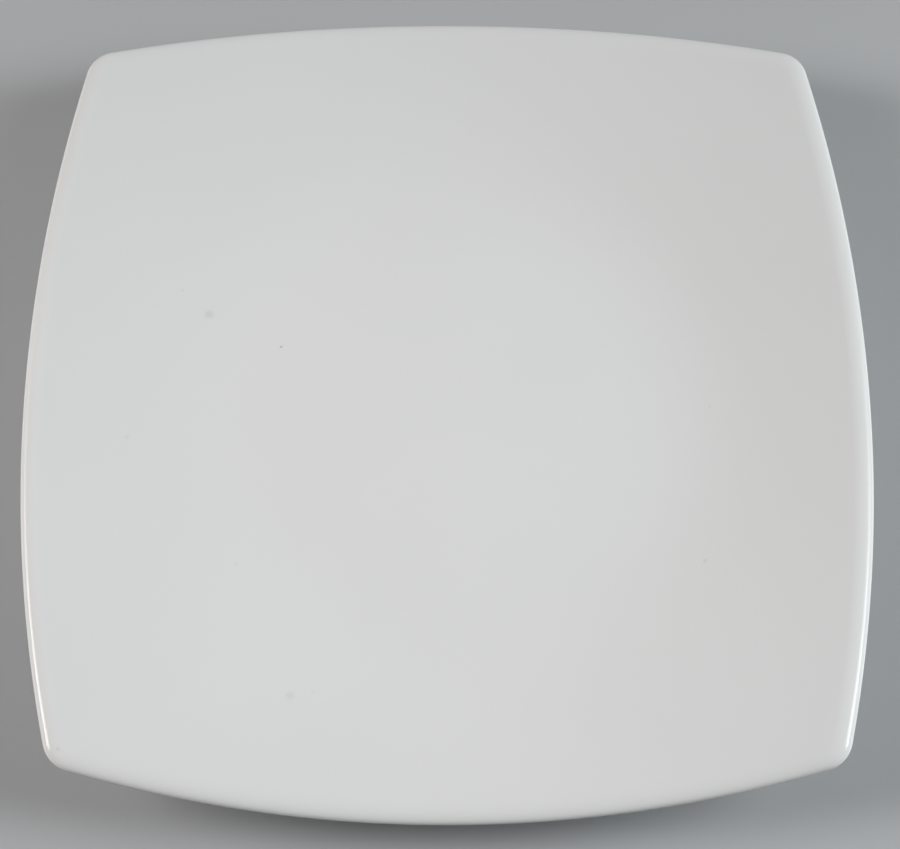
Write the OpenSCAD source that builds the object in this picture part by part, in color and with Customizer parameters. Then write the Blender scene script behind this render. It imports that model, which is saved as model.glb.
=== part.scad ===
// Square coupe chop plate in glazed porcelain, in millimetres.
// The table is z = 0, the plate's upright axis is Z, and its sides face X and Y.
// The dish is a shallow round form cut to a bowed square, so its corners stand higher than its sides.

/* [Outline] */
// Width across the middles of two opposite sides
plate_w = 318; // [270:1:380]
// Radius of the arc that bows each side outward
side_r = 511; // [350:1:900]
// Radius of the rounded corners
corner_r = 13; // [11:0.5:30]

/* [Dish] */
// Radius of the flat round well
well_r = 74; // [60:1:95]
// Section radius of the curve that lifts the well into the flare
cove_r = 155; // [90:5:200]
// Rise of the flare above level, in degrees
flare_angle = 14.5; // [10:0.5:18]
// Thickness of the plate under the well, glaze included
well_t = 5.6; // [4.5:0.1:7]
// Thickness of the flare, measured upright, glaze included
flare_t = 5.8; // [5:0.1:7]

/* [Rolled edge] */
// Distance in from the edge at which the face starts to roll over
roll_in = 8; // [5:0.5:10]
// Drop of the rolled face at the edge, below the line of the flare
roll_drop = 4; // [2:0.1:4.5]
// Distance in from the edge at which the back starts to round
back_in = 3; // [2:0.5:4.5]

/* [Foot ring] */
// Height of the plate's flat back above the table
foot_h = 3.2; // [2.4:0.1:5]
// Width of the foot ring where it stands on the table, before its corners are eased
foot_w = 4.4; // [3:0.1:6]
// Draft of the foot ring's two walls, in degrees
foot_draft = 15; // [5:1:30]
// Ease cut off each lower corner of the foot ring
foot_ease = 0.5; // [0.3:0.1:0.8]
// Flat back left between the foot ring and the curve of the back
foot_setback = 1.5; // [1.2:0.1:5]
// Section radius of the curve that lifts the back into the flare
back_cove_r = 25; // [10:1:40]

/* [Glaze] */
// Thickness of the glaze coat
glaze_t = 0.3; // [0.2:0.05:0.5]
// Height on the foot ring's walls at which the glaze stops
glaze_line = 1.1; // [0.9:0.1:1.8]

/* [Hidden] */
$fn = 128;

body_colour = "#e8e3d9";
glaze_colour = "#d4d6d5";

// Facets of the loft: along one side, round one corner, and across each curve of the section
side_steps = 22;
corner_steps = 6;
roll_steps = 6;
back_roll_steps = 4;
cove_steps = 5;
back_cove_steps = 2;

// Outline: where the side arcs and the corner arcs are centred, and the direction in which they meet
side_c = side_r - plate_w / 2;
corner_c = (sqrt(2 * pow(side_r - corner_r, 2) - pow(side_c, 2)) - side_c) / 2;
join_a = atan2(corner_c, corner_c + side_c);

// Dish: heights of the well and radii at which the curves of the face and the back end
well_z = foot_h + well_t;
flare_slope = tan(flare_angle);
cove_end_r = well_r + cove_r * sin(flare_angle);
cove_end_z = well_z + cove_r * (1 - cos(flare_angle));
back_meet_r = cove_end_r - (cove_end_z - flare_t - foot_h) / flare_slope;
back_flat_r = back_meet_r - back_cove_r * tan(flare_angle / 2);

// Foot ring: outer and inner radii of the glazed walls, at the table and at the flat back
foot_lean = tan(foot_draft);
foot_root_r = back_flat_r - foot_setback;
foot_out_r = foot_root_r - foot_h * foot_lean;
foot_in_r = foot_out_r - foot_w;
foot_in_root_r = foot_in_r - foot_h * foot_lean;

// Radius at which the coat on the back is cut away, and out to which the band on the foot ring laps it
coat_cut_r = foot_root_r + foot_setback / 3;
coat_lap_r = foot_root_r + foot_setback * 2 / 3;
// The foot ring is worked into the body as deep as the middle of the well's thickness
foot_top_z = foot_h + well_t / 2;

function turn(p, a) = [p.x * cos(a) - p.y * sin(a), p.x * sin(a) + p.y * cos(a)];
function towards(p, r, z) = concat(r * p / norm(p), z);

// Each frame of the outline is the centre of its arc, the arc's radius and the outward direction
frames = [
    for (quarter = [0:3])
        each concat(
            [for (i = [0:side_steps - 1])
                [turn([-side_c, 0], 90 * quarter), side_r,
                    90 * quarter + join_a * (2 * i / side_steps - 1)]],
            [for (i = [0:corner_steps - 1])
                [turn([corner_c, corner_c], 90 * quarter), corner_r,
                    90 * quarter + join_a + (90 - 2 * join_a) * i / corner_steps]]
        )
];

// Plan point that lies a distance in from the edge
function inset(frame, in) = frame[0] + (frame[1] - in) * [cos(frame[2]), sin(frame[2])];

// Height of the flare's face, carried on to the edge as if it did not roll over
function flare_z(p) = cove_end_z + flare_slope * (norm(p) - cove_end_r);

// Rings of the section. Depth is how far a ring lies below the finished surface.
function face_roll_ring(a, depth) = [
    for (f = frames)
        let (in = roll_in * (1 - sin(a)), p = inset(f, in + depth * sin(a)))
            concat(p, flare_z(inset(f, in)) - roll_drop * (1 - cos(a)) - depth * cos(a))
];
function back_roll_ring(a, depth) = [
    for (f = frames)
        let (
            in = back_in * (1 - sin(a)),
            p = inset(f, in + depth * sin(a)),
            rise = (flare_t - roll_drop) * (1 - cos(a))
        )
            concat(p, flare_z(inset(f, in)) - flare_t + rise + depth * cos(a))
];
function face_cove_ring(a, depth) = [
    for (f = frames)
        towards(inset(f, roll_in), well_r + cove_r * sin(a), well_z + cove_r * (1 - cos(a)) - depth)
];
function back_cove_ring(a, depth) = [
    for (f = frames)
        towards(inset(f, back_in), back_flat_r + back_cove_r * sin(a),
            foot_h + back_cove_r * (1 - cos(a)) + depth)
];
function flat_back_ring(r, depth) = [for (f = frames) towards(inset(f, back_in), r, foot_h + depth)];

// The whole section, from the edge of the flat back round the rim to the edge of the well
function section(depth) = concat(
    [for (i = [0:back_cove_steps]) back_cove_ring(flare_angle * i / back_cove_steps, depth)],
    [for (i = [0:back_roll_steps - 1]) back_roll_ring(90 * i / back_roll_steps, depth)],
    [for (i = [0:roll_steps]) face_roll_ring(90 * (1 - i / roll_steps), depth)],
    [for (i = [0:cove_steps]) face_cove_ring(flare_angle * (1 - i / cove_steps), depth)]
);
function reversed(list) = [for (i = [len(list) - 1:-1:0]) list[i]];

// Closed skin over a chain of rings, with a flat cap on its first and its last ring
module loft(rings) {
    n = len(rings[0]);
    last = len(rings) - 1;
    polyhedron(
        points = [for (ring = rings) each ring],
        faces = concat(
            [[for (i = [0:n - 1]) i]],
            [for (k = [0:last - 1], i = [0:n - 1])
                let (j = (i + 1) % n, low = k * n, high = low + n)
                    each [[low + i, high + i, high + j], [low + i, high + j, low + j]]],
            [[for (i = [n - 1:-1:0]) last * n + i]]
        )
    );
}

// Porcelain of the foot ring, inside the glaze on its walls and bare where it stands
module foot_ring() {
    inner = foot_in_r + glaze_t;
    outer = foot_out_r - glaze_t;
    rotate_extrude()
        polygon([
            [inner + foot_ease, 0],
            [outer - foot_ease, 0],
            [outer + foot_ease * foot_lean, foot_ease],
            [outer + foot_top_z * foot_lean, foot_top_z],
            [inner - foot_top_z * foot_lean, foot_top_z],
            [inner - foot_ease * foot_lean, foot_ease]
        ]);
}

module porcelain_body() {
    color(body_colour) {
        loft(section(glaze_t));
        foot_ring();
    }
}

// Glaze over the face, round the edge and over the back, as far as the foot ring's outer wall
module glaze_coat() {
    hole_r = foot_root_r - foot_setback;
    back_z = foot_h + glaze_t;
    color(glaze_colour) {
        difference() {
            loft(concat(
                reversed(section(glaze_t)),
                [flat_back_ring(hole_r, glaze_t), flat_back_ring(hole_r, 0)],
                section(0)
            ));
            cylinder(h = well_z - glaze_t * 2, r = coat_cut_r);
        }
        rotate_extrude()
            polygon([
                [foot_out_r - glaze_t + glaze_line * foot_lean, glaze_line],
                [foot_out_r + glaze_line * foot_lean, glaze_line],
                [foot_root_r, foot_h],
                [coat_lap_r, foot_h],
                [coat_lap_r, back_z],
                [foot_out_r - glaze_t + back_z * foot_lean, back_z]
            ]);
    }
}

// Glaze on the flat back inside the foot ring, and down its inner wall
module base_glaze() {
    back_z = foot_h + glaze_t;
    color(glaze_colour)
        rotate_extrude()
            polygon([
                [0, foot_h],
                [foot_in_root_r, foot_h],
                [foot_in_r - glaze_line * foot_lean, glaze_line],
                [foot_in_r + glaze_t - glaze_line * foot_lean, glaze_line],
                [foot_in_r + glaze_t - back_z * foot_lean, back_z],
                [0, back_z]
            ]);
}

porcelain_body();
glaze_coat();
base_glaze();
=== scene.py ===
"""Looks of a square coupe chop plate in white glazed porcelain, in metres.

The plate is three fixed pieces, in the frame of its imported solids: the porcelain body, the glaze coat over
it, and the glaze inside its foot ring. Each is a smooth closed mesh with the section of the solid that it
replaces, so that the gloss shows no facets.
"""

import math

import bpy
import numpy as np
from mathutils import Matrix, Vector


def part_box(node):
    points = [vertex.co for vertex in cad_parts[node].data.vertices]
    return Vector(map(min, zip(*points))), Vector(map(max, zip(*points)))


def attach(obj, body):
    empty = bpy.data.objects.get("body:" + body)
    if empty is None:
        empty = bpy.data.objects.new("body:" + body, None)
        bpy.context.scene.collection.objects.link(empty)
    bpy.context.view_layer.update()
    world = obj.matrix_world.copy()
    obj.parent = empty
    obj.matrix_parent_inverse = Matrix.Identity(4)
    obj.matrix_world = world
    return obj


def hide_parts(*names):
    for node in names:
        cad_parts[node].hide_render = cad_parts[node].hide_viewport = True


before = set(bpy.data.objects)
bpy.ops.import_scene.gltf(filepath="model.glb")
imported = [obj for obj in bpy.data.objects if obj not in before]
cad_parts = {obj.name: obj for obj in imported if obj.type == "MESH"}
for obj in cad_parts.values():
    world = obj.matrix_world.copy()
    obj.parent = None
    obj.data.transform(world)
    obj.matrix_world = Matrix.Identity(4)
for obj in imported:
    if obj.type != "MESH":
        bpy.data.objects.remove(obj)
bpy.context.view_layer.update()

coat_low, coat_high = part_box("glaze_coat")
body_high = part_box("porcelain_body")[1]
base_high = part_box("base_glaze")[1]

# Sizes that the frame gives
HALF_W = coat_high.x
GLAZE_T = coat_high.x - body_high.x
GLAZE_LINE = coat_low.z
FOOT_H = base_high.z - GLAZE_T

# Outline: the arcs that bow the sides, and the rounded corners
SIDE_R = 0.511
CORNER_R = 0.013

# Dish: flat well, the cove that lifts it, the straight flare, the run that eases each end of the cove,
# and the thickness of the plate, measured upright
WELL_R = 0.074
COVE_R = 0.155
FLARE_ANGLE = math.radians(14.5)
COVE_EASE = 0.013
WELL_T = 0.0056
FLARE_T = 0.0058

# Rolled edge: run and drop of the face, and run of the back
ROLL_IN = 0.008
ROLL_DROP = 0.004
BACK_IN = 0.003

# Foot ring: width at the table, draft of its walls in degrees, round of its lower corners and of its roots,
# the flat back left outside it, and the curve that lifts the back from there into the flare
FOOT_W = 0.0044
FOOT_DRAFT = 15
FOOT_ROUND = 0.0005
ROOT_ROUND = 0.0008
FOOT_SETBACK = 0.0015
BACK_COVE_R = 0.025

# Fineness of the outline: steps along one side and round one corner
SIDE_STEPS = 64
CORNER_STEPS = 20

# Fineness of the section: steps over each stretch of the surfaces that are hidden and of those that show
HIDDEN_BACK = {"roll_steps": 6, "flare_steps": 3, "cove_steps": 4}
HIDDEN_FACE = {"roll_steps": 8, "flare_steps": 3, "cove_steps": 12, "well_steps": 4}
SHOWN_BACK = {"roll_steps": 14, "flare_steps": 10, "cove_steps": 8}
SHOWN_FACE = {"roll_steps": 28, "flare_steps": 12, "cove_steps": 40, "well_steps": 8}
FOOT_STEPS = 6
GLAZE_END_STEPS = 8
EASE_SAMPLES = 81

# Edges that fold by more than this stay sharp
SHARP_ANGLE = math.radians(50)

# Glaze: colours of its clouds, of its thin edge and of its marks
CLOUD_LOW = (0.674, 0.678, 0.678, 1)
CLOUD_HIGH = (0.682, 0.686, 0.686, 1)
EDGE_COLOUR = (0.695, 0.690, 0.672, 1)
MARK_COLOUR = (0.36, 0.36, 0.35, 1)

# Glaze: gloss, and the scales and heights of its textures
GLAZE_IOR = 1.5
GLAZE_ROUGHNESS = (0.06, 0.10)
CLOUD_SCALE = 14
SMEAR_SCALE = 40
RIPPLE_SCALE = 24
RIPPLE_HEIGHT = 0.00008
PEEL_SCALE = 260
PEEL_HEIGHT = 0.000002

# Thin edge of the glaze: how upright the normal is where it starts and where it is full, and its share there
EDGE_START = 0.8
EDGE_FULL = 0.25
EDGE_SHARE = 0.8

# Bare porcelain: colours of its grain and of what rubs off on it, and its roughness
GRAIN_LOW = (0.60, 0.57, 0.52, 1)
GRAIN_HIGH = (0.72, 0.69, 0.64, 1)
RUBBED_COLOUR = (0.36, 0.345, 0.32, 1)
PORCELAIN_ROUGHNESS = (0.65, 0.85)

# Bare porcelain: scales of its textures, height of its grain, and the least and most share of what rubs off
GRAIN_SCALE = 900
GRAIN_HEIGHT = 0.00004
RUB_SCALE = 160
RUB_SHARE = (0.1, 0.9)

# Noise textures: their mean colour, and the range in which most of their values lie
NOISE_MEAN = (0.5, 0.5, 0.5)
NOISE_RANGE = (0.3, 0.7)

# Small marks in the glaze of the face: place in plan, radius, and how much of the mark's tone shows
MARKS = [
    (-0.0922, 0.0381, 0.0026, 0.22),
    (-0.0570, -0.1124, 0.0024, 0.15),
    (-0.0643, 0.0256, 0.0007, 0.90),
    (0.0953, -0.0613, 0.0012, 0.22),
    (0.1001, 0.0004, 0.0007, 0.24),
    (-0.1205, -0.0136, 0.0015, 0.12),
    (-0.1025, 0.0471, 0.0009, 0.18),
    (-0.0485, -0.1107, 0.0012, 0.10),
    (-0.0785, -0.0617, 0.0009, 0.14),
    (-0.1357, -0.1341, 0.0010, 0.30),
]

# Marks: how far and how finely their outlines stray from circles, and the share of the radius at full tone
MARK_STRAY = 0.0012
MARK_STRAY_SCALE = 500
MARK_CORE = 0.2

# Stage: a pale floor, the distances from the plate between which it goes over into an even backdrop, how
# bright the backdrop looks, and how bright it is as a light
FLOOR_REACH = 6.0
FLOOR_COLOUR = (0.42, 0.43, 0.44, 1)
FLOOR_ROUGHNESS = 0.9
FLOOR_PLAIN_R = 0.22
FLOOR_FADED_R = 0.5
BACKDROP_COLOUR = (0.97, 0.985, 1.0, 1)
BACKDROP_STRENGTH = 0.5
FILL_STRENGTH = 0.11

# Softboxes: their distance, the point at which they aim, the angle to which their grids narrow the light,
# the radius of a hot middle as a share of the softbox, and their tints
LIGHT_DISTANCE = 1.4
LIGHT_AIM = Vector((0, -0.05, 0))
GRID_SPREAD = math.radians(60)
HOT_MIDDLE = 0.1
RIGHT_TINT = (0.961, 1.0, 1.0)
LEFT_TINT = (1.0, 0.965, 0.943)

# Camera, nearly overhead as in the photograph: focal length and width of the picture in pixels, width of
# the sensor in millimetres, then its distance, the angles in radians and the point at which it aims
PHOTO_FOCAL_PX = 1953.2
PHOTO_W_PX = 900
SENSOR_W = 36
CAMERA_DISTANCE = 0.7313
CAMERA_TILT = 0.3334
CAMERA_ROLL = -0.0126
PLATE_TURN = 0.0138
AIM_X = 0.0011
AIM_Y = -0.0107

# Derived sizes
side_centre = SIDE_R - HALF_W
corner_centre = (math.sqrt(2 * (SIDE_R - CORNER_R) ** 2 - side_centre**2) - side_centre) / 2
join_angle = math.atan2(corner_centre, corner_centre + side_centre)
well_z = FOOT_H + WELL_T
flare_slope = math.tan(FLARE_ANGLE)
cove_end_r = WELL_R + COVE_R * math.sin(FLARE_ANGLE)
cove_end_z = well_z + COVE_R * (1 - math.cos(FLARE_ANGLE))
back_meet_r = cove_end_r - (cove_end_z - FLARE_T - FOOT_H) / flare_slope
back_flat_r = back_meet_r - BACK_COVE_R * math.tan(FLARE_ANGLE / 2)
foot_lean = math.tan(math.radians(FOOT_DRAFT))
foot_root_r = back_flat_r - FOOT_SETBACK
foot_out_r = foot_root_r - FOOT_H * foot_lean
foot_in_r = foot_out_r - FOOT_W
edge_z = cove_end_z + flare_slope * (HALF_W - cove_end_r) - ROLL_DROP


def outline_frames():
    """Centre, radius and outward direction of the outline's arcs, all the way round."""
    centres, radii, angles = [], [], []
    for quarter in range(4):
        turn = quarter * math.pi / 2
        c, s = math.cos(turn), math.sin(turn)
        for i in range(SIDE_STEPS):
            centres.append((-side_centre * c, -side_centre * s))
            radii.append(SIDE_R)
            angles.append(turn + join_angle * (2 * i / SIDE_STEPS - 1))
        for i in range(CORNER_STEPS):
            centres.append((corner_centre * (c - s), corner_centre * (s + c)))
            radii.append(CORNER_R)
            angles.append(turn + join_angle + (math.pi / 2 - 2 * join_angle) * i / CORNER_STEPS)
    angles = np.array(angles)
    return np.array(centres), np.array(radii), np.stack([np.cos(angles), np.sin(angles)], axis=1)


CENTRES, RADII, NORMALS = outline_frames()
AROUND = len(RADII)


def inset(distance):
    """Plan points a distance in from the edge."""
    return CENTRES + (RADII - distance)[:, None] * NORMALS


def ring(plan, heights):
    """Points over the plan points, at one height or at one each."""
    return np.column_stack([plan, np.broadcast_to(heights, AROUND)])


def flare_z(radius):
    """Height of the flare's face, carried on in both directions as a cone."""
    return cove_end_z + flare_slope * (radius - cove_end_r)


def dish_z(radius):
    """Height of the face, with the ends of the cove eased by a mean over a short run of the section."""
    run = np.asarray(radius)[..., None] + np.linspace(-COVE_EASE, COVE_EASE, EASE_SAMPLES)
    into_cove = np.clip(run - WELL_R, 0, cove_end_r - WELL_R)
    cove_z = well_z + COVE_R - np.sqrt(COVE_R**2 - into_cove**2)
    return np.where(run > cove_end_r, flare_z(run), cove_z).mean(axis=-1)


ROLL_START = inset(ROLL_IN)
SPOKES = ROLL_START / np.linalg.norm(ROLL_START, axis=1)[:, None]


def circle(radius, height):
    """A ring about the plate's axis, in step with the frames of the outline."""
    return ring(radius * SPOKES, height)


def face_rings(depth, roll_steps, flare_steps, cove_steps, well_steps):
    """From the edge over the rolled rim and the flare to the middle of the well."""
    rings = []
    for i in range(roll_steps + 1):
        a = math.pi / 2 * (1 - i / roll_steps)
        run = ROLL_IN * (1 - math.sin(a))
        flare = flare_z(np.linalg.norm(inset(run), axis=1))
        heights = flare - ROLL_DROP * (1 - math.cos(a)) - depth * math.cos(a)
        rings.append(ring(inset(run + depth * math.sin(a)), heights))
    cove_out = cove_end_r + COVE_EASE
    cove_in = WELL_R - COVE_EASE
    for i in range(1, flare_steps):
        plan = ROLL_START + (cove_out * SPOKES - ROLL_START) * i / flare_steps
        rings.append(ring(plan, dish_z(np.linalg.norm(plan, axis=1)) - depth))
    for i in range(cove_steps + 1):
        radius = cove_out + (cove_in - cove_out) * i / cove_steps
        rings.append(circle(radius, dish_z(radius) - depth))
    for i in range(1, well_steps):
        rings.append(circle(cove_in * (1 - i / well_steps), well_z - depth))
    return rings


def back_rings(depth, roll_steps, flare_steps, cove_steps):
    """From the flat back beside the foot ring out to just short of the edge."""
    rings = []
    for i in range(cove_steps + 1):
        a = FLARE_ANGLE * i / cove_steps
        height = FOOT_H + BACK_COVE_R * (1 - math.cos(a)) + depth
        rings.append(circle(back_flat_r + BACK_COVE_R * math.sin(a), height))
    start = (back_flat_r + BACK_COVE_R * math.sin(FLARE_ANGLE)) * SPOKES
    end = inset(BACK_IN)
    for i in range(1, flare_steps):
        plan = start + (end - start) * i / flare_steps
        rings.append(ring(plan, flare_z(np.linalg.norm(plan, axis=1)) - FLARE_T + depth))
    for i in range(roll_steps):
        a = math.pi / 2 * i / roll_steps
        run = BACK_IN * (1 - math.sin(a))
        flare = flare_z(np.linalg.norm(inset(run), axis=1))
        rise = (FLARE_T - ROLL_DROP) * (1 - math.cos(a)) + depth * math.cos(a)
        rings.append(ring(inset(run + depth * math.sin(a)), flare - FLARE_T + rise))
    return rings


def arc(centre, radius, start, end, steps):
    """Points (radius from the plate's axis, height) along an arc of the section, angles in degrees."""
    angles = [math.radians(start + (end - start) * i / steps) for i in range(steps + 1)]
    return [(centre[0] + radius * math.cos(a), centre[1] + radius * math.sin(a)) for a in angles]


def revolve(points):
    """Rings through points of the section."""
    return [circle(radius, height) for radius, height in points]


def root_centre(wall_r, lean, back_z):
    """Centre of the round between a wall of the foot ring and the flat back beside it."""
    tangent = ROOT_ROUND * math.tan(math.radians(45 - FOOT_DRAFT / 2))
    return wall_r + back_z * lean + math.copysign(tangent, lean), back_z - ROOT_ROUND


def outer_root(depth):
    """Round from the foot ring's outer wall to the flat back."""
    centre = root_centre(foot_out_r - depth, foot_lean, FOOT_H + depth)
    return arc(centre, ROOT_ROUND, 180 - FOOT_DRAFT, 90, FOOT_STEPS)


def inner_root(depth):
    """Flat back inside the foot ring, from its middle, and its round to the inner wall."""
    centre = root_centre(foot_in_r + depth, -foot_lean, FOOT_H + depth)
    flat = [(centre[0] * i / FOOT_STEPS, FOOT_H + depth) for i in range(1, FOOT_STEPS)]
    return flat + arc(centre, ROOT_ROUND, 90, FOOT_DRAFT, FOOT_STEPS)


def glaze_end(wall_r, lean):
    """Rounded lower end of the glaze on a wall of the foot ring, from its inner to its outer side."""
    height = GLAZE_LINE + GLAZE_T / 2
    return arc((wall_r + lean * height, height), GLAZE_T / 2, 180, 360, GLAZE_END_STEPS)


def foot_section():
    """Bare foot ring, from the flat back inside it round its standing face to the one outside it."""
    low_in = (foot_in_r + GLAZE_T + FOOT_ROUND, FOOT_ROUND)
    low_out = (foot_out_r - GLAZE_T - FOOT_ROUND, FOOT_ROUND)
    return (
        inner_root(GLAZE_T)
        + arc(low_in, FOOT_ROUND, 180 + FOOT_DRAFT, 270, FOOT_STEPS)
        + arc(low_out, FOOT_ROUND, 270, 360 - FOOT_DRAFT, FOOT_STEPS)
        + outer_root(GLAZE_T)
    )


def closed_mesh(name, rings, start_z, end_z):
    """A mesh over a chain of rings, closed at both ends by a point on the plate's axis."""
    count = len(rings)
    points = np.vstack([*rings, [(0, 0, start_z), (0, 0, end_z)]])
    first, last = count * AROUND, count * AROUND + 1
    faces = []
    for i in range(AROUND):
        j = (i + 1) % AROUND
        faces.append((first, j, i))
        for k in range(count - 1):
            low, high = k * AROUND, (k + 1) * AROUND
            faces.append((low + i, low + j, high + j, high + i))
        faces.append(((count - 1) * AROUND + i, (count - 1) * AROUND + j, last))
    mesh = bpy.data.meshes.new(name)
    mesh.from_pydata(points.tolist(), [], faces)
    mesh.polygons.foreach_set("use_smooth", [True] * len(faces))
    mesh.set_sharp_from_angle(angle=SHARP_ANGLE)
    mesh.update()
    piece = bpy.data.objects.new(name, mesh)
    bpy.context.scene.collection.objects.link(piece)
    return piece


def hidden_rings():
    """Surface between porcelain and glaze, from the flat back round the edge to the middle of the well."""
    return back_rings(GLAZE_T, **HIDDEN_BACK) + face_rings(GLAZE_T, **HIDDEN_FACE)


def make_body():
    section = revolve(foot_section()) + hidden_rings()
    return closed_mesh("body_of_porcelain", section, FOOT_H + GLAZE_T, well_z - GLAZE_T)


def make_coat():
    inside = revolve(outer_root(GLAZE_T)) + hidden_rings()
    end = revolve(glaze_end(foot_out_r - GLAZE_T / 2, foot_lean))
    outside = revolve(outer_root(0)) + back_rings(0, **SHOWN_BACK) + face_rings(0, **SHOWN_FACE)
    return closed_mesh("coat_of_glaze", inside[::-1] + end + outside, well_z - GLAZE_T, well_z)


def make_base():
    end = revolve(glaze_end(foot_in_r + GLAZE_T / 2, -foot_lean))
    section = revolve(inner_root(0)) + end + revolve(inner_root(GLAZE_T))[::-1]
    return closed_mesh("glaze_under_base", section, FOOT_H, FOOT_H + GLAZE_T)


def add_node(tree, kind, values, **settings):
    """A node with its settings, whose inputs each take a value or the output of another node."""
    node = tree.nodes.new(kind)
    for name, setting in settings.items():
        setattr(node, name, setting)
    for key, value in values.items():
        if isinstance(value, bpy.types.NodeSocket):
            tree.links.new(value, node.inputs[key])
        else:
            node.inputs[key].default_value = value
    return node


def calculate(tree, operation, first, second=0.0):
    return add_node(tree, "ShaderNodeMath", {0: first, 1: second}, operation=operation).outputs["Value"]


def vector(tree, operation, values, output="Vector"):
    return add_node(tree, "ShaderNodeVectorMath", values, operation=operation).outputs[output]


def noise(tree, place, scale, detail, output="Fac"):
    values = {"Vector": place, "Scale": scale, "Detail": detail}
    return add_node(tree, "ShaderNodeTexNoise", values).outputs[output]


def ramp(tree, value, start, end, low, high):
    """A value that runs smoothly from low to high while another runs from start to end."""
    values = {"Value": value, "From Min": start, "From Max": end, "To Min": low, "To Max": high}
    node = add_node(tree, "ShaderNodeMapRange", values, interpolation_type="SMOOTHSTEP")
    return node.outputs["Result"]


def spread(tree, texture, low, high):
    """The usual range of a noise texture, spread from low to high."""
    return ramp(tree, texture, *NOISE_RANGE, low, high)


def blend(tree, factor, low, high):
    """A colour between two others."""
    return add_node(tree, "ShaderNodeMix", {0: factor, 6: low, 7: high}, data_type="RGBA").outputs[2]


def bump(tree, height, distance, normal=None):
    values = {"Height": height, "Distance": distance}
    if normal:
        values["Normal"] = normal
    return add_node(tree, "ShaderNodeBump", values).outputs["Normal"]


def new_material(name):
    """A material with its tree, its shader and the plate's own coordinates."""
    material = bpy.data.materials.new(name)
    material.use_nodes = True
    tree = material.node_tree
    return material, tree, tree.nodes["Principled BSDF"], tree.nodes.new("ShaderNodeTexCoord").outputs


def mark_mask(tree, place):
    """How much of the marks' tone shows at a point of the face."""
    sway = noise(tree, place, MARK_STRAY_SCALE, detail=2, output="Color")
    stray = vector(tree, "SUBTRACT", {0: sway, 1: NOISE_MEAN})
    wavy_place = vector(tree, "MULTIPLY_ADD", {0: stray, 1: (MARK_STRAY,) * 3, 2: place})
    mask = 0.0
    for x, y, radius, strength in MARKS:
        centre = (x, y, float(dish_z(math.hypot(x, y))))
        away = vector(tree, "DISTANCE", {0: wavy_place, 1: centre}, "Value")
        mark = ramp(tree, away, MARK_CORE * radius, radius, strength, 0)
        mask = calculate(tree, "MAXIMUM", mark, mask)
    return mask


def glaze_material():
    """White gloss glaze: clouded a little, thin and warmer on the edge, with a few small marks."""
    material, tree, shader, coordinates = new_material("white_glaze")
    place = coordinates["Object"]
    clouds = spread(tree, noise(tree, place, CLOUD_SCALE, detail=3), 0, 1)
    colour = blend(tree, clouds, CLOUD_LOW, CLOUD_HIGH)
    facing = add_node(tree, "ShaderNodeSeparateXYZ", {0: coordinates["Normal"]}).outputs["Z"]
    upright = calculate(tree, "ABSOLUTE", facing)
    colour = blend(tree, ramp(tree, upright, EDGE_FULL, EDGE_START, EDGE_SHARE, 0), colour, EDGE_COLOUR)
    colour = blend(tree, mark_mask(tree, place), colour, MARK_COLOUR)
    tree.links.new(colour, shader.inputs["Base Color"])
    roughness = spread(tree, noise(tree, place, SMEAR_SCALE, detail=4), *GLAZE_ROUGHNESS)
    tree.links.new(roughness, shader.inputs["Roughness"])
    shader.inputs["IOR"].default_value = GLAZE_IOR
    ripple = bump(tree, noise(tree, place, RIPPLE_SCALE, detail=1), RIPPLE_HEIGHT)
    peel = bump(tree, noise(tree, place, PEEL_SCALE, detail=2), PEEL_HEIGHT, ripple)
    tree.links.new(peel, shader.inputs["Normal"])
    return material


def porcelain_material():
    """Bare fired porcelain: creamy and matt, with a fine grain, greyed where the foot ring rubs."""
    material, tree, shader, coordinates = new_material("bare_porcelain")
    place = coordinates["Object"]
    grain = noise(tree, place, GRAIN_SCALE, detail=6)
    colour = blend(tree, spread(tree, grain, 0, 1), GRAIN_LOW, GRAIN_HIGH)
    height = add_node(tree, "ShaderNodeSeparateXYZ", {0: place}).outputs["Z"]
    patches = spread(tree, noise(tree, place, RUB_SCALE, detail=5), *RUB_SHARE)
    rubbed = calculate(tree, "MULTIPLY", ramp(tree, height, 0, FOOT_ROUND / 2, 1, 0), patches)
    colour = blend(tree, rubbed, colour, RUBBED_COLOUR)
    tree.links.new(colour, shader.inputs["Base Color"])
    tree.links.new(spread(tree, grain, *PORCELAIN_ROUGHNESS), shader.inputs["Roughness"])
    tree.links.new(bump(tree, grain, GRAIN_HEIGHT), shader.inputs["Normal"])
    return material


def dress(piece, material, node):
    """Gives a piece its material, its body and the node that it replaces."""
    piece.data.materials.append(material)
    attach(piece, "root")
    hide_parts(node)


glaze = glaze_material()
porcelain = porcelain_material()
dress(make_body(), porcelain, "porcelain_body")
dress(make_coat(), glaze, "glaze_coat")
dress(make_base(), glaze, "base_glaze")


def seen_ray(tree):
    """One for a ray that shows the backdrop, straight or mirrored, and nought for a ray that lights."""
    path = tree.nodes.new("ShaderNodeLightPath").outputs
    straight = calculate(tree, "MAXIMUM", path["Is Camera Ray"], path["Is Transmission Ray"])
    return calculate(tree, "MAXIMUM", straight, path["Is Glossy Ray"])


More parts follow.
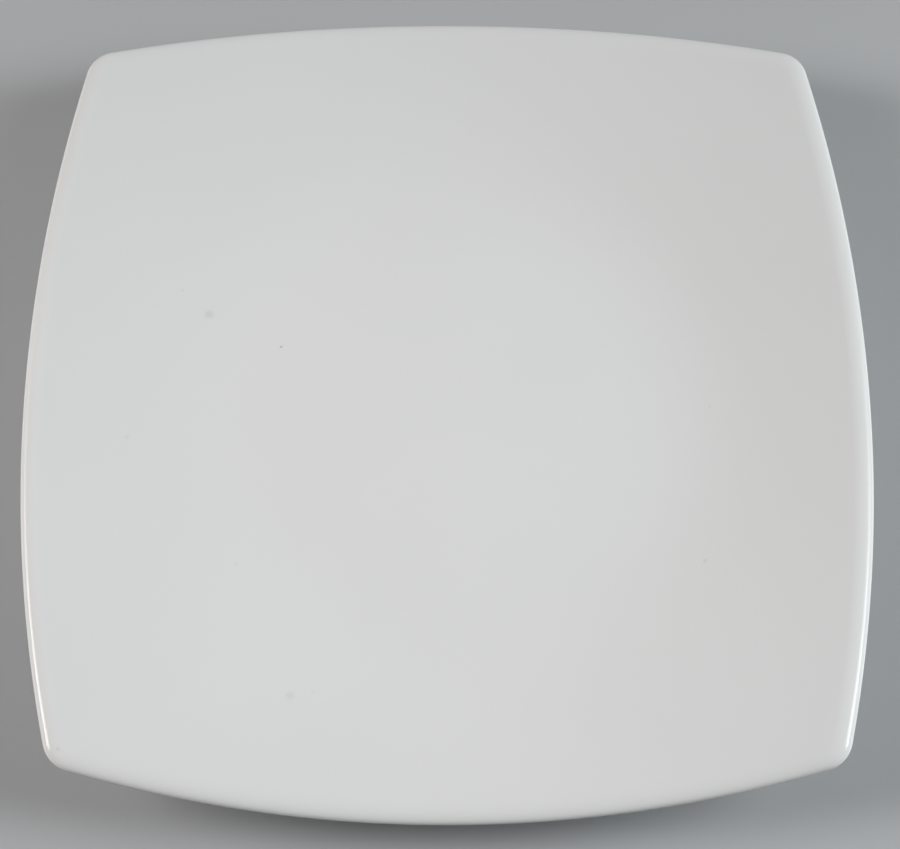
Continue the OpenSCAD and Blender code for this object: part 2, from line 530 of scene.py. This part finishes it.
def floor_material():
    """Matt pale floor that goes over into the even backdrop well away from the plate and its shadow."""
    material, tree, shader, coordinates = new_material("pale_floor")
    shader.inputs["Base Color"].default_value = FLOOR_COLOUR
    shader.inputs["Roughness"].default_value = FLOOR_ROUGHNESS
    away = vector(tree, "LENGTH", {0: coordinates["Object"]}, "Value")
    faded = ramp(tree, away, FLOOR_PLAIN_R, FLOOR_FADED_R, 0, 1)
    share = calculate(tree, "MULTIPLY", faded, seen_ray(tree))
    backdrop_values = {"Color": BACKDROP_COLOUR, "Strength": BACKDROP_STRENGTH}
    backdrop = add_node(tree, "ShaderNodeEmission", backdrop_values).outputs[0]
    mix = add_node(tree, "ShaderNodeMixShader", {0: share, 1: shader.outputs[0], 2: backdrop})
    tree.links.new(mix.outputs[0], tree.nodes["Material Output"].inputs["Surface"])
    return material


def make_floor():
    mesh = bpy.data.meshes.new("floor")
    corners = [(-1, -1), (1, -1), (1, 1), (-1, 1)]
    mesh.from_pydata([(x * FLOOR_REACH, y * FLOOR_REACH, 0) for x, y in corners], [], [(0, 1, 2, 3)])
    mesh.materials.append(floor_material())
    floor = bpy.data.objects.new("floor", mesh)
    bpy.context.scene.collection.objects.link(floor)


def make_camera():
    data = bpy.data.cameras.new("camera")
    data.sensor_width = SENSOR_W
    data.lens = PHOTO_FOCAL_PX / PHOTO_W_PX * SENSOR_W
    camera = bpy.data.objects.new("camera", data)
    bpy.context.scene.collection.objects.link(camera)
    look = Matrix.Rotation(-PLATE_TURN, 4, "Z") @ Matrix.Translation((AIM_X, AIM_Y, edge_z))
    swing = Matrix.Rotation(CAMERA_TILT, 4, "X") @ Matrix.Rotation(-CAMERA_ROLL, 4, "Z")
    camera.matrix_world = look @ swing @ Matrix.Translation((0, 0, CAMERA_DISTANCE))
    bpy.context.scene.camera = camera


def fade_edges(lamp_data):
    """Dims a softbox from its hot middle to nothing at its edges. Places on it run from 0 to 1."""
    lamp_data.use_nodes = True
    tree = lamp_data.node_tree
    half = 0.5
    place = tree.nodes.new("ShaderNodeNewGeometry").outputs["Parametric"]
    away = vector(tree, "DISTANCE", {0: place, 1: (half, half, 0)}, "Value")
    tree.links.new(ramp(tree, away, HOT_MIDDLE, half, 1, 0), tree.nodes["Emission"].inputs["Strength"])


def soft_light(name, azimuth, elevation, width, height, power, tint, mirrored):
    """A softbox with a grid. Azimuth 0 is the plate's right-hand side and 90 its far side.

    One that is mirrored shows in the gloss, with a hot middle. One that isn't gives light alone.
    """
    data = bpy.data.lights.new(name, "AREA")
    data.shape = "RECTANGLE"
    data.size = width
    data.size_y = height
    data.energy = power
    data.color = tint
    data.spread = GRID_SPREAD
    if mirrored:
        fade_edges(data)
    lamp = bpy.data.objects.new(name, data)
    bpy.context.scene.collection.objects.link(lamp)
    a, e = math.radians(azimuth), math.radians(elevation)
    direction = Vector((math.cos(a) * math.cos(e), math.sin(a) * math.cos(e), math.sin(e)))
    lamp.location = LIGHT_DISTANCE * direction
    lamp.rotation_euler = (lamp.location - LIGHT_AIM).to_track_quat("Z", "Y").to_euler()
    lamp.visible_glossy = mirrored


def make_world():
    """Even low light all round, which shows as the pale backdrop."""
    world = bpy.data.worlds.new("studio")
    world.use_nodes = True
    tree = world.node_tree
    background = tree.nodes["Background"]
    background.inputs["Color"].default_value = BACKDROP_COLOUR
    strength = ramp(tree, seen_ray(tree), 0, 1, FILL_STRENGTH, BACKDROP_STRENGTH)
    tree.links.new(strength, background.inputs["Strength"])
    bpy.context.scene.world = world


make_floor()
make_camera()
make_world()
soft_light(
    "right_panel", azimuth=1, elevation=22.5, width=0.58, height=0.80, power=2.45,
    tint=RIGHT_TINT, mirrored=False,
)
soft_light(
    "left_panel", azimuth=179, elevation=28, width=0.58, height=0.70, power=1.70,
    tint=LEFT_TINT, mirrored=False,
)
soft_light(
    "right_rim_light", azimuth=7.5, elevation=38, width=0.82, height=0.80, power=1.80,
    tint=RIGHT_TINT, mirrored=True,
)
soft_light(
    "left_rim_light", azimuth=172.5, elevation=37.5, width=0.82, height=0.66, power=1.70,
    tint=LEFT_TINT, mirrored=True,
)
bpy.context.scene.view_settings.view_transform = "Standard"
